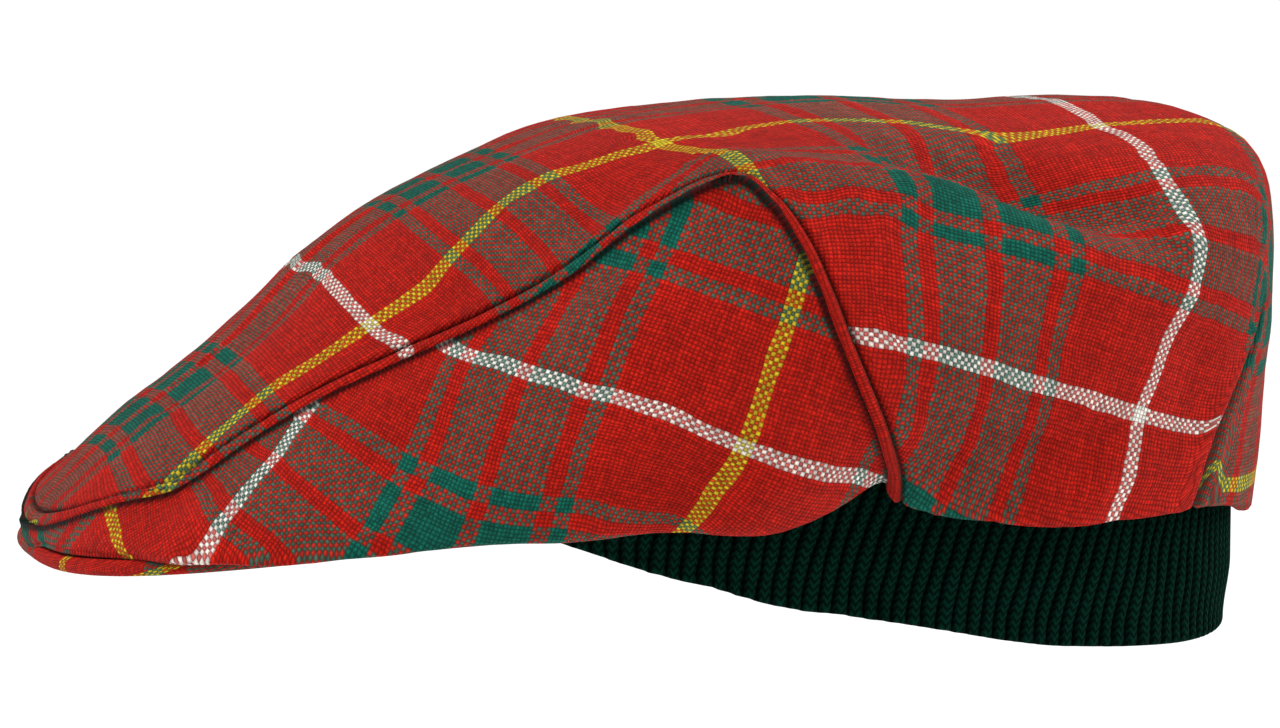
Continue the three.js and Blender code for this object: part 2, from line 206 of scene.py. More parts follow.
panel = {
    "wall": 1.8,
    "rows": 110, "columns": 56,
    "pull": 20,  # how hard the marks hold the weave
    "steps": (5, 6),  # mm from column to column and row to row, laid flat
    "rightFoldShare": 0.6,
    "rearPull": 2.5,  # sections that are drawn to the upright seam
    "rimDrop": -0.8, "rimShare": 0.06,  # mm, over the last share of the way down
    "noseTuck": 1.6, "noseHalfWidth": 16, "noseY": -150, "noseDepth": 4,
    "plainMargin": 2, "foldMargin": 10, "foldShare": 0.15,
    # painted shade where the cloth turns under at the rim: how dark, and over what share
    "rimShade": 0.8, "rimShadeShare": 0.03,  # how dark the cloth turns under, and over what share
    "shortest": 30,  # mm down, under which the edge's columns draw together
}

# Folds in the cloth: width and rise in mm, and spots of the camera's frame that each runs through.
crownFolds = [
    (13, 3.8, [(680, 164), (728, 161), (776, 172), (848, 186), (920, 190), (968, 200),
               (1016, 217), (1064, 232), (1112, 245), (1160, 252), (1200, 250)]),
    (15, -9.0, [(860, 150), (930, 156), (980, 166), (1024, 181), (1064, 192), (1112, 206),
                (1150, 218), (1190, 230)]),
    (20, -2.2, [(150, 420), (200, 372), (260, 322), (330, 268)]),
    (18, -2.0, [(560, 215), (600, 196), (640, 185)]),
    (14, -2.4, [(905, 470), (960, 440), (1040, 450), (1110, 470)]),
    (9, 1.6, [(930, 500), (1000, 490), (1060, 500), (1120, 490)]),
    (12, -2.0, [(1200, 300), (1196, 380), (1180, 450)]),
]
panelFolds = [
    (14, -2.4, [(560, 318), (600, 320), (660, 340), (700, 380)]),
    (11, -1.8, [(560, 470), (620, 450), (690, 430), (760, 430)]),
    (9, 1.3, [(620, 500), (700, 470), (770, 470)]),
    (9, -1.6, [(730, 500), (790, 480), (840, 470)]),
    (14, 1.2, [(300, 500), (400, 450), (480, 420)]),
    (9, -1.2, [(160, 540), (230, 520), (330, 530)]),
]

# Height of the lapped, topstitched edge above the cloth, by distance from the edge.
lapProfile = [
    [0, -1.5], [0.15, -0.8], [0.4, 0.2], [0.9, 0.85], [1.8, 1.1], [3.2, 1.0], [3.7, 0.6],
    [4.1, -0.9], [4.5, 0.3], [5.2, 0.8], [7, 0.6], [11, 0],
]
uprightProfile = [
    [0, -1.2], [0.15, -0.4], [0.4, 0.6], [0.8, 1.1], [1.4, 1.3], [2.2, 1.35], [2.6, 1.2],
    [3.1, 0.4], [3.6, -0.6], [4.15, 0.1], [4.9, 0.4], [7, 0.3], [9, 0],
]
# Height of the side panel's cloth, which runs in under that edge.
sunkProfile = [[0, -1.6], [0.4, -0.9], [1.0, -0.4], [2.2, 0.0], [4, 0.2], [9, 0]]
sunkUprightProfile = [[0, -1.2], [0.4, -0.5], [1.0, -0.1], [2.4, 0.2], [5, 0.3], [10, 0]]
# Painted shade in the seams, by the same distances: how far the cloth's colour is darkened in the
# grooves and creases where shadow falls.
lapShade = [[0, 0.85], [0.4, 0.6], [0.8, 0.05], [3.4, 0], [3.8, 0.7], [4.4, 0.7], [5.0, 0]]
uprightShade = [
    [0, 0.5], [0.25, 0.2], [0.45, 0], [2.8, 0], [3.1, 0.3], [3.6, 0.8], [4.15, 0.3], [4.6, 0],
]
sunkShade = [[0, 0.9], [0.4, 0.85], [0.8, 0.3], [1.4, 0]]
# Distances from the edge at which the meshes have a row or a column of their own.
edgeDistances = np.array([
    0, 0.15, 0.4, 0.65, 0.95, 1.4, 1.9, 2.25, 2.6, 3.1, 3.6, 3.9, 4.15, 4.45, 4.9, 5.6, 7, 9,
])
hemRoll = [[0.3, 0.3], [0.9, 0.5], [1.6, 0.5]]  # inwards and downwards, in mm

# How far the hem is drawn down (-) or up (+), by share of the way along the last section.
hemDrop = np.array([
    [0, 0], [0.2, 0], [0.35, 1.0], [0.48, 3.5], [0.55, 3.8], [0.62, 2.2], [0.7, 0], [0.78, -2.0],
    [0.85, -4.0], [0.9, -5.4], [0.95, -6.0], [0.985, -4.6], [1, -1.5],
])

# Route of the dart: section number, and share of the way along the section. It opens at dartTop.
dartTop = 15.75
dartRoute = np.array([
    [0, 0.42], [15, 0.41], [dartTop, 0.42], [16.4, 0.50], [16.8, 0.535], [17.2, 0.56], [19, 0.595],
])

# Where stripes show in the camera's frame: the yarn's number, and spots along it. Yarns across are
# counted from the centre line of the crown, and yarns along from the white line over the front.
crownAcross = [
    (52, [(166, 498), (205, 448), (236, 417), (268, 388), (317, 360), (372, 328), (425, 297),
          (459, 252), (493, 209), (522, 185), (546, 174), (603, 162), (660, 148), (705, 137),
          (734, 135), (1000, 150), (1050, 139), (1094, 129), (1191, 118), (1208, 119)]),
    (88, [(1072, 204), (1150, 190), (1260, 196)]),
    (104, [(1140, 234), (1208, 236), (1268, 256)]),
    (124, [(776, 194), (850, 198), (904, 204), (1000, 240), (1092, 272), (1170, 299),
           (1248, 326)]),
    (156, [(850, 332), (880, 338), (920, 347), (960, 358), (1000, 370), (1040, 383), (1090, 397),
           (1133, 410), (1180, 421), (1198, 426)]),
]
crownAlong = [
    (-104, [(39, 510), (41, 522)]),
    (0, [(318, 262), (328, 273), (340, 288), (356, 309), (372, 328), (412, 342), (458, 352)]),
    (104, [(575, 124), (595, 129), (615, 134), (637, 141), (660, 148), (735, 155), (750, 175),
           (760, 190)]),
    (136, [(915, 200), (910, 280), (916, 345), (910, 390), (905, 430)]),
    (156, [(1000, 280), (991, 360), (985, 400), (985, 440)]),
    (176, [(1080, 280), (1060, 320), (1047, 360), (1042, 430)]),
    (208, [(1050, 100), (1094, 129), (1160, 185), (1190, 215), (1204, 238), (1204, 260),
           (1196, 282), (1186, 310), (1161, 348), (1133, 410), (1133, 437), (1131, 480),
           (1110, 515)]),
]
# On the left side panel, yarns across are counted from a white line towards the back, and yarns
# along from the white line that crosses it, downwards.
panelAcross = [
    (0, [(292, 428), (275, 457), (250, 482), (233, 512), (211, 545), (206, 556)]),
    (36, [(462, 360), (440, 430), (425, 472), (415, 485)]),
    (52, [(517, 385), (487, 477), (477, 512)]),
    (68, [(582, 400), (550, 500)]),
    (104, [(800, 282), (790, 320), (768, 385), (745, 450), (690, 520)]),
]
panelAlong = [
    (0, [(455, 350), (469, 356), (527, 375), (590, 395), (640, 407), (700, 432), (745, 450),
         (800, 467), (865, 480)]),
    (36, [(320, 425), (380, 467), (415, 485), (477, 512), (547, 520), (580, 517), (640, 528),
          (682, 529)]),
    (52, [(277, 460), (330, 512), (360, 537), (387, 546)]),
    (68, [(215, 487), (233, 512), (280, 555)]),
    (104, [(112, 512), (117, 530), (122, 550)]),
]


def crownSurface(rows, sides):
    at = rowsAt(crownSections, rows)
    return bezier(
        stack(0, at["midY"], at["midZ"]),
        stack(at["reach"], at["midY"], at["midZ"]),
        stack(at["turnX"], at["turnY"], at["turnZ"]),
        stack(at["edgeX"], at["edgeY"], at["edgeZ"]),
        sides,
    )


def crownEdge(seams):
    return crownSurface(np.clip(seams, 0, crown["seatRow"]), np.where(seams < 0, 1 + seams, 1.0))


def panelSection(rows, downs):
    at = rowsAt(panelSections, rows)
    seams = np.interp(rows, np.arange(len(panelSections["seam"])), panelSections["seam"])
    top = crownEdge(seams)
    low = stack(at["lowX"], at["lowY"], at["lowZ"])
    return bezier(
        top,
        top + stack(at["topX"], at["topY"], at["topZ"]),
        low + stack(at["rollX"], at["rollY"], at["rollZ"]),
        low,
        downs,
    )


# The last sections of a panel are drawn on to the upright seam.
def panelSurface(rows, downs):
    last = len(panelSections["seam"]) - 1
    apex = crown["apexRow"]
    seam = crownEdge(apex + (crown["seatRow"] - apex) * downs)
    pull = smoothStep(1 - (last - rows) / panel["rearPull"])
    step = seam - panelSection(np.full_like(rows, last), downs)
    return panelSection(rows, downs) + step * pull[:, None]


# Outward normals by small steps along both ways of a surface, held inside its edges.
def surfaceNormals(surface, rows, sides, lastRow, stepRow=0.06, stepSide=0.012):
    r = np.clip(rows, stepRow, lastRow - stepRow)
    s = np.clip(sides, stepSide, 1 - stepSide)
    alongRows = surface(r + stepRow, s) - surface(r - stepRow, s)
    acrossRows = surface(r, s + stepSide) - surface(r, s - stepSide)
    normals = np.cross(acrossRows, alongRows)
    return normals / np.linalg.norm(normals, axis=-1, keepdims=True)


# Height of the folds at given points. Each fold is highest along its middle and fades at its ends.
def foldHeights(folds, points, sheet, places=25):
    heights = np.zeros(len(points))
    share = np.linspace(0, 1, places)
    for width, rise, spots in folds:
        seen = seenPlaces([(0, spots)], sheet)[0]
        route = rowsAt(dict(zip("xyz", seen.T)), share * (len(seen) - 1))
        route = np.stack([route[axis] for axis in "xyz"], 1)
        distance = np.linalg.norm(points[:, None] - route[None], axis=2)
        fade = 1 - np.abs(2 * share[distance.argmin(axis=1)] - 1) ** 3
        heights += rise * fade * np.exp(-2 * (distance.min(axis=1) / width) ** 2)
    return heights


# Smooth noise with lumps of about one size in mm.
def wander(points, size, seed):
    return np.array([noise.noise(Vector(point / size) + Vector((seed, 0, 0))) for point in points])


# Finds where each place of a shaped sheet lay in the flat cloth, with as little stretch as its
# shape allows. The marks say which yarn some places lie on, as weights of the points and a number.
def layFlat(points, faces, start, marks, pull, rounds=40, leastCot=0.05, mostCot=8, hold=1e-7):
    count = len(points)
    a, b, c = points[faces[:, 0]], points[faces[:, 1]], points[faces[:, 2]]
    base = np.linalg.norm(b - a, axis=1)
    ahead = (b - a) / base[:, None]
    along = ((c - a) * ahead).sum(axis=1)
    height = np.linalg.norm(np.cross(b - a, c - a), axis=1) / base
    zero = np.zeros(len(faces))
    corners = ((zero, zero), (base, zero), (along, height))
    rest = np.stack([np.stack(corner, 1) for corner in corners], 1)
    matrix = np.zeros((count, count))
    edges = []
    for i, j, k in ((0, 1, 2), (1, 2, 0), (2, 0, 1)):
        p, q = rest[:, i] - rest[:, k], rest[:, j] - rest[:, k]
        area = np.abs(p[:, 0] * q[:, 1] - p[:, 1] * q[:, 0])
        cot = np.clip((p * q).sum(axis=1) / np.maximum(area, 1e-9), leastCot, mostCot)
        f, g = faces[:, i], faces[:, j]
        edges.append((f, g, cot, rest[:, i] - rest[:, j]))
        for m, n, w in ((f, f, cot), (g, g, cot), (f, g, -cot), (g, f, -cot)):
            np.add.at(matrix, (m, n), w)
    solved = start.copy()
    inverses, targets = [], []
    for axis in (0, 1):
        weights, yarns = marks[axis]
        inverses.append(np.linalg.inv(matrix + pull * weights.T @ weights + hold * np.eye(count)))
        targets.append(pull * weights.T @ yarns)
    for _ in range(rounds):
        cosine, sine = np.zeros(len(faces)), np.zeros(len(faces))
        for f, g, cot, step in edges:
            d = solved[f] - solved[g]
            cosine += cot * (d * step).sum(axis=1)
            sine += cot * (d[:, 1] * step[:, 0] - d[:, 0] * step[:, 1])
        size = np.hypot(cosine, sine)
        cosine, sine = cosine / size, sine / size
        right = [targets[0].copy(), targets[1].copy()]
        for f, g, cot, step in edges:
            turned = (cosine * step[:, 0] - sine * step[:, 1],
                      sine * step[:, 0] + cosine * step[:, 1])
            for axis in (0, 1):
                np.add.at(right[axis], f, cot * turned[axis])
                np.add.at(right[axis], g, -cot * turned[axis])
        solved = np.stack([inverses[0] @ right[0], inverses[1] @ right[1]], 1)
    return solved


# Lays a grid of places flat, and gives the yarns at each of them. Only rows and columns a step
# apart (in mm) are solved, and the rest lie between them. Each mark is a place and its yarn. Below
# the top of a dart, the cloth on its inner and its outer side is solved apart, so both have yarns
# of their own.
def clothPlaces(points, steps, marks, pull, dart=None):
    pitch = tartan["pitch"]
    rowStep, columnStep = steps
    rowPick = evenPick(points[:, points.shape[1] // 2], rowStep, dart[0] if dart else 0)
    columnPick = evenPick(points[points.shape[0] // 2], columnStep, dart[1] if dart else 0)
    nodes = points[np.ix_(rowPick, columnPick)] / pitch
    rows, columns = nodes.shape[:2]
    inner = np.arange(rows * columns).reshape(rows, columns)
    outer = inner.copy()
    flat = nodes.reshape(-1, 3)
    split = columns - 1
    if dart:
        top, split = rowPick.index(dart[0]), columnPick.index(dart[1])
        outer[top + 1:, split] = rows * columns + np.arange(rows - top - 1)
        flat = np.concatenate([flat, nodes[top + 1:, split]])
    faces = []
    for index, first, last in ((inner, 0, split), (outer, split, columns - 1)):
        a, b = index[:-1, first:last], index[:-1, first + 1:last + 1]
        c, d = index[1:, first + 1:last + 1], index[1:, first:last]
        for corners in ((a, b, c), (a, c, d), (a, b, d), (b, c, d)):
            faces.append(np.stack(corners, -1).reshape(-1, 3))
    faces = np.concatenate(faces)
    tree = BVHTree.FromPolygons([tuple(v) for v in flat], faces.tolist())
    placed = []
    for spots, yarns in marks:
        weights = np.zeros((len(spots), len(flat)))
        for line, spot in enumerate(spots):
            near, _, face, _ = tree.find_nearest(Vector(spot / pitch))
            corners = faces[face]
            weights[line, corners] = poly_3d_calc([Vector(flat[i]) for i in corners], near)
        placed.append((weights, yarns))
    known = [weights @ flat for weights, _ in placed]
    guess = np.zeros((len(flat), 2))
    softly = 1e-3 * np.eye(4)
    for axis in (0, 1):
        fit = np.concatenate([known[axis], np.ones((len(known[axis]), 1))], axis=1)
        yarns = placed[axis][1]
        answer = np.linalg.lstsq(fit.T @ fit + softly, fit.T @ yarns, rcond=None)[0]
        guess[:, axis] = np.concatenate([flat, np.ones((len(flat), 1))], axis=1) @ answer
    solved = layFlat(flat, faces, guess, placed, pull)
    return [spread(points, rowPick, columnPick, solved[index]) for index in (inner, outer)]


# Picks places along a line about one step apart, with its ends and one given place among them.
def evenPick(line, step, keep):
    length = arcLength(line)
    picks = {0, keep, len(line) - 1}
    for first, last in ((0, keep), (keep, len(line) - 1)):
        count = max(1, round((length[last] - length[first]) / step))
        for at in np.linspace(length[first], length[last], count + 1):
            picks.add(int(np.abs(length - at).argmin()))
    return sorted(picks)


# Length down each column of a grid of points.
def arcs(points):
    steps = np.linalg.norm(np.diff(points, axis=0), axis=2)
    return np.concatenate([np.zeros((1, points.shape[1])), np.cumsum(steps, axis=0)], axis=0)


# Spreads values known at the picked rows and columns over the whole grid.
def spread(points, rowPick, columnPick, values):
    along = arcs(points.transpose(1, 0, 2)).T
    down = arcs(points)
    lines = []
    for row, known in zip(rowPick, values):
        place = np.interp(along[row], along[row][columnPick], np.arange(len(columnPick)))
        lines.append(splineWeights(place, len(columnPick)) @ known)
    lines = np.array(lines)
    full = np.zeros(points.shape[:2] + (2,))
    for column in range(points.shape[1]):
        place = np.interp(down[:, column], down[rowPick, column], np.arange(len(rowPick)))
        full[:, column] = splineWeights(place, len(rowPick)) @ lines[:, column]
    return full


# An sRGB hex colour as linear values.
def linear(code):
    parts = [int(code[i:i + 2], 16) / 255 for i in (0, 2, 4)]
    return [p / 12.92 if p <= 0.04045 else ((p + 0.055) / 1.055) ** 2.4 for p in parts] + [1]


# Sets inputs, by name or number, to constants or to the outputs of other nodes.
def setInputs(node, inputs):
    for key, value in inputs.items() if isinstance(inputs, dict) else enumerate(inputs):
        if isinstance(value, bpy.types.NodeSocket):
            node.id_data.links.new(value, node.inputs[key])
        else:
            node.inputs[key].default_value = value


# Adds a node with its settings and links, and gives its first output or the one asked for.
def addNode(tree, kind, inputs=(), give=0, **settings):
    node = tree.nodes.new("ShaderNode" + kind)
    for key, value in settings.items():
        setattr(node, key, value)
    setInputs(node, inputs)
    return node.outputs[give]


def newMaterial(name):
    material = bpy.data.materials.new(name)
    material.use_nodes = True
    tree = material.node_tree
    return material, partial(addNode, tree), tree.nodes["Principled BSDF"]


tartan = {
    "sett": 208,  # yarns in one repeat
    "white": "efe8de", "red": "b8190b", "green": "0b5e4e", "yellow": "ccb422",
    "pitch": 0.9,  # mm from yarn to yarn
    "bleed": 0.12,  # share of the covered yarn's colour that comes through
}
# Yarns of half the sett, from the middle of a white line to the middle of a yellow one.
tartanStops = [
    (0, "white"), (2, "red"), (30, "green"), (34, "red"), (38, "green"), (50, "red"),
    (54, "green"), (66, "red"), (70, "green"), (74, "red"), (102, "yellow"),
]


# Scales count yarns. A pair is how much something lightens the cloth, and the least it leaves.
tweed = {
    "strayScale": 0.11, "stray": 1.3,  # yarns wander by half a yarn or so, over about 8 mm
    # fallOff, dotPower and dot set the painted shade in the gaps between the yarns
    "fallOff": 0.8,  # how far a dot dims towards its ends
    "dotPower": 1.1, "dot": (0.64, 0.39),
    "fuzzScale": 2.3, "fuzz": (1.2, 0.38),  # loose fibres, half a yarn wide
    "patchScale": 0.05, "patch": (0.24, 0.88),  # patches of about 18 mm
    "crossing": 0.44, "yarn": 0.2,  # how much crossings, and whole yarns, differ in light
    "relief": 0.35, "reliefStrength": 0.8, "fuzzRelief": 0.7,  # mm, and shares
    "roughness": 0.95, "sheen": 0.02, "specular": 0.1,
}


# Brushed woollen tweed in plain weave. Each crossing shows one yarn as a small rounded dot, dull
# and faintly fuzzy, with painted shade in the gaps between the yarns. Its map counts repeats of
# the tartan.
def tweedMaterial(name):
    material, add, shader = newMaterial(name)
    half = tartan["sett"] / 2
    uv = add("UVMap", uv_map="cloth")
    yarns = add("VectorMath", {0: uv, "Scale": tartan["sett"]}, operation="SCALE")
    slow = add("TexNoise", {"Vector": yarns, "Scale": tweed["strayScale"], "Detail": 2.0}, "Color")
    shift = add("VectorMath", [slow, (0.5, 0.5, 0.5)], operation="SUBTRACT")
    shift = add("VectorMath", {0: shift, "Scale": tweed["stray"]}, operation="SCALE")
    place = add("VectorMath", [yarns, shift], operation="ADD")
    colours, heights, cells, shares = [], [], [], []
    for way in add("SeparateXYZ", [place]).node.outputs[:2]:
        cell = add("Math", [way], operation="FLOOR")
        middle = add("Math", [cell, 0.5], operation="ADD")
        turned = add("Math", [middle, half], operation="PINGPONG")
        turned = add("Math", [turned, half], operation="DIVIDE")
        colour = add("ValToRGB", [turned])
        ramp = colour.node.color_ramp
        ramp.interpolation = "CONSTANT"
        while len(ramp.elements) < len(tartanStops):
            ramp.elements.new(0.5)
        for element, (at, yarn) in zip(ramp.elements, tartanStops):
            element.position = at / half
            element.color = linear(tartan[yarn])
        off = add("Math", [way, middle], operation="SUBTRACT")
        off = add("Math", [off, 2.0], operation="MULTIPLY")
        shares.append(add("Math", [off, off], operation="MULTIPLY"))
        colours.append(colour)
        cells.append(cell)
    # The two yarns take turns on top. The big even number keeps the count above zero.
    count = add("Math", cells, operation="ADD")
    count = add("Math", [count, 4096.0], operation="ADD")
    over = add("Math", [count, 2.0], operation="MODULO")
    for a, b in ((0, 1), (1, 0)):
        edge = add("Math", [1.0, shares[a]], operation="SUBTRACT")
        end = add("Math", [shares[b], -tweed["fallOff"], 1.0], operation="MULTIPLY_ADD")
        heights.append(add("Math", [edge, end], operation="MULTIPLY"))
    height = add("Mix", {0: over, 2: heights[0], 3: heights[1]}, data_type="FLOAT")
    # Loose fibres carry some of the covered yarn's colour over the one on top.
    bleed = tartan["bleed"]
    face = add("Math", [over, 1 - 2 * bleed, bleed], operation="MULTIPLY_ADD")
    colour = add("Mix", {0: face, 6: colours[0], 7: colours[1]}, 2, data_type="RGBA")
    fuzz = add("TexNoise", {"Vector": yarns, "Scale": tweed["fuzzScale"], "Detail": 3.0})
    patch = add("TexNoise", {"Vector": yarns, "Scale": tweed["patchScale"], "Detail": 2.0})
    # Painted shade: the colour darkens in the gaps between the yarns, where a dot is low.
    gap = add("Math", [height, tweed["dotPower"]], operation="POWER")
    gap = add("Math", [gap, *tweed["dot"]], operation="MULTIPLY_ADD")
    mottle = add("Math", [fuzz, *tweed["fuzz"]], operation="MULTIPLY_ADD")
    shade = add("Math", [patch, *tweed["patch"]], operation="MULTIPLY_ADD")
    # Each crossing is lighter or darker than the next, and so is each yarn along its length.
    crossing = add("CombineXYZ", cells)
    for ways, socket, value, depth in (("2D", "Vector", crossing, tweed["crossing"]),
                                       ("1D", "W", cells[0], tweed["yarn"]),
                                       ("1D", "W", cells[1], tweed["yarn"])):
        own = add("TexWhiteNoise", {socket: value}, "Value", noise_dimensions=ways)
        own = add("Math", [own, depth, 1 - depth / 2], operation="MULTIPLY_ADD")
        shade = add("Math", [shade, own], operation="MULTIPLY")
    # Painted shade: seams, the dart and the rim turned under are darkened by the share that the
    # mesh gives.
    paintedShade = add("Attribute", give="Fac", attribute_name="paintedShade")
    clear = add("Math", [1.0, paintedShade], operation="SUBTRACT")
    for factor in (gap, mottle, clear):
        shade = add("Math", [shade, factor], operation="MULTIPLY")
    tone = add("VectorMath", {0: colour, "Scale": shade}, operation="SCALE")
    nap = add("Math", [fuzz, tweed["fuzzRelief"], height], operation="MULTIPLY_ADD")
    bump = add("Bump", {"Strength": tweed["reliefStrength"], "Distance": tweed["relief"] * mm,
                        "Height": nap})
    setInputs(shader, {"Base Color": tone, "Normal": bump, "Roughness": tweed["roughness"],
                       "Sheen Weight": tweed["sheen"], "Specular IOR Level": tweed["specular"]})
    return material


knit = {
    "dark": "000201", "light": "05382b",
    # bow is painted light and shade on each V stitch; groove is painted shade between the ribs
    "slant": 1.4, "bow": (0.4, 0.6),  # stitches by which a V rises, and its light
    "groove": 3.2,  # how sharply the light falls between the ribs
    "fibreScale": 5.0, "fibreRelief": 0.8,
    "relief": 0.4, "reliefStrength": 0.7,  # mm, and a share
    "roughness": 0.95, "specular": 0.02,
}


# Dark worsted rib knit: matt, with soft V stitches up each rib in painted light and shade, lighter
# loose fibres, and painted shade in the grooves between the ribs. Its map counts ribs across and
# stitches down.
def knitMaterial(name):
    material, add, shader = newMaterial(name)
    uv = add("UVMap", uv_map="cloth")
    across, down = add("SeparateXYZ", [uv]).node.outputs[:2]
    rib = add("Math", [across, 2.0], operation="MULTIPLY")
    rib = add("Math", [rib, 0.5], operation="PINGPONG")
    # Painted light and shade: each V stitch is lighter along its loop and darker between loops.
    stitch = add("Math", [rib, knit["slant"], down], operation="MULTIPLY_ADD")
    wave = add("Math", [stitch, 2 * math.pi], operation="MULTIPLY")
    wave = add("Math", [wave], operation="SINE")
    bow = add("Math", [wave, *knit["bow"]], operation="MULTIPLY_ADD")
    # Painted shade: the colour darkens into the grooves between the ribs.
    ridge = add("Math", [across, 0.5], operation="PINGPONG")
    ridge = add("Math", [ridge, knit["groove"]], operation="MULTIPLY")
    ridge = add("Math", [ridge, 1.0], operation="MINIMUM")
    bow = add("Math", [bow, ridge], operation="MULTIPLY")
    fibres = add("TexNoise", {"Vector": uv, "Scale": knit["fibreScale"], "Detail": 5.0,
                              "Roughness": 0.7})
    light = add("Math", [fibres, bow], operation="MULTIPLY")
    tone = add("Mix", {0: light, 6: linear(knit["dark"]), 7: linear(knit["light"])}, 2,
               data_type="RGBA")
    height = add("Math", [fibres, knit["fibreRelief"], bow], operation="MULTIPLY_ADD")
    bump = add("Bump", {"Strength": knit["reliefStrength"], "Distance": knit["relief"] * mm,
                        "Height": height})
    setInputs(shader, {"Base Color": tone, "Normal": bump, "Roughness": knit["roughness"],
                       "Specular IOR Level": knit["specular"]})
    return material


# One plain colour: matt polyester thread, and the matt paper of the floor.
def plainMaterial(name, colour, roughness):
    material, _, shader = newMaterial(name)
    setInputs(shader, {"Base Color": linear(colour), "Roughness": roughness})
    return material


# A bmesh grid laid over rows of points, with a map for its yarns and, where given, its painted
# shade.
def gridMesh(points, paintedShades=None):
    rows, columns = points.shape[:2]
    bm = bmesh.new()
    layer = bm.loops.layers.uv.new("cloth")
    paintedShade = None if paintedShades is None else bm.verts.layers.float.new("paintedShade")
    bmesh.ops.create_grid(bm, x_segments=columns - 1, y_segments=rows - 1, size=1)
    for vert, place in zip(bm.verts, points.reshape(-1, 3) * mm):
        vert.co = place
    # Painted shade for each vertex, which the material uses to darken the colour.
    if paintedShade:
        for vert, shade in zip(bm.verts, paintedShades.ravel()):
            vert[paintedShade] = shade
    for face in bm.faces:
        face.smooth = True
    bm.verts.index_update()
    return bm, layer


# A sheet over a grid of points. Each block of columns has its own yarns, so that the weave breaks
# at a dart.
def gridPiece(name, points, blocks, paintedShades, material, node, wall):
    columns = points.shape[1]
    bm, layer = gridMesh(points, paintedShades)
    for face in bm.faces:
        last = max(vert.index % columns for vert in face.verts)
        yarns = next(values for limit, values in blocks if last <= limit)
        for loop in face.loops:
            row, column = divmod(loop.vert.index, columns)
            loop[layer].uv = yarns[row, column] / tartan["sett"]
    return finishPiece(name, bm, material, node, wall)


def finishPiece(name, bm, material, node=None, wall=None):
    bmesh.ops.recalc_face_normals(bm, faces=bm.faces)
    if wall:
        # An open sheet is turned so that its outer side looks away from the middle of the cap.
        facing = sum(face.normal.dot(face.calc_center_median()) * face.calc_area()
                     for face in bm.faces)
        if facing < 0:
            bmesh.ops.reverse_faces(bm, faces=bm.faces)
    data = bpy.data.meshes.new(name)
    bm.to_mesh(data)
    bm.free()
    piece = bpy.data.objects.new(name, data)
    bpy.context.collection.objects.link(piece)
    data.materials.append(material)
    if wall:
        thick = piece.modifiers.new("wall", "SOLIDIFY")
        thick.thickness = wall * mm
        thick.offset = -1
    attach(piece, "root")
    if node:
        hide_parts(node)
    print("made", name, len(data.polygons), "faces")
    return piece


def mirrored(points):
    return points * np.array([-1, 1, 1])


# Distance from the seam, and its share of the upright seam (1) against the long one in front (0).
def seamDistances(points):
    apex = crown["apexRow"]
    seams = np.concatenate([np.linspace(-1, 0, 600), np.linspace(0, apex, 2400)[1:],
                            np.linspace(apex, crown["seatRow"], 2000)[1:]])
    tree = KDTree(len(seams))
    for index, point in enumerate(crownEdge(seams)):
        tree.insert(Vector(point), index)
    tree.balance()
    found = [tree.find(Vector(point)) for point in points]
    upright = smoothStep(seams[[item[1] for item in found]] - apex + 0.5)
    return np.array([item[2] for item in found]), upright


# Reads two profiles at a distance from the seam, and blends the long seam's with the upright one's.
def alongSeam(distance, upright, front, rear):
    front, rear = [np.interp(distance, *np.transpose(profile)) for profile in (front, rear)]
    return between(front, rear, upright)


dartColumns = np.array([3.0, 1.6, 0.7])  # mm from the dart


# Column places along a row: even in the middle, close together at the dart and the lapped edge.
def placesAcross(length, dart):
    gap = crown["dartGap"]
    inside = np.linspace(0, dart - gap, crown["middleColumns"])
    near = [dart - dartColumns, [dart], dart + dartColumns[::-1]]
    rest = np.linspace(dart + gap, length - edgeDistances[-1] - 2, crown["sideColumns"])
    return np.concatenate([inside, *near, rest, length - edgeDistances[::-1]])


# Sections and shares at which the crown's mesh has its rows and columns.
def crownGrid():
    dense = np.linspace(0, crown["seatRow"], 1500)
    arc = arcLength(crownSurface(dense, np.zeros(len(dense))))
    even = np.linspace(edgeDistances[-1], arc[-1], crown["rows"])[1:]
    rows = np.interp(np.concatenate([edgeDistances, even]), arc, dense)
    share = np.linspace(0, 1, 400)
    sides = []
    for row in rows:
        length = arcLength(crownSurface(np.full(len(share), row), share))
        dart = np.interp(np.interp(row, *dartRoute.T), share, length)
        sides.append(np.interp(placesAcross(length[-1], dart), length, share))
    return rows, np.array(sides)


middleYarn = 52  # yarn of the tartan's repeat at the middle of the crown
seamStrip = {
    "after": 0.35,  # sections behind the meeting of the seams
    "columns": 10,  # columns of the edge, counted from the outside
    "yarn": 78, "yarns": 22,  # first yarn of a red block, and how many of it are used
    "perRow": 2.6,  # yarns from row to row
}


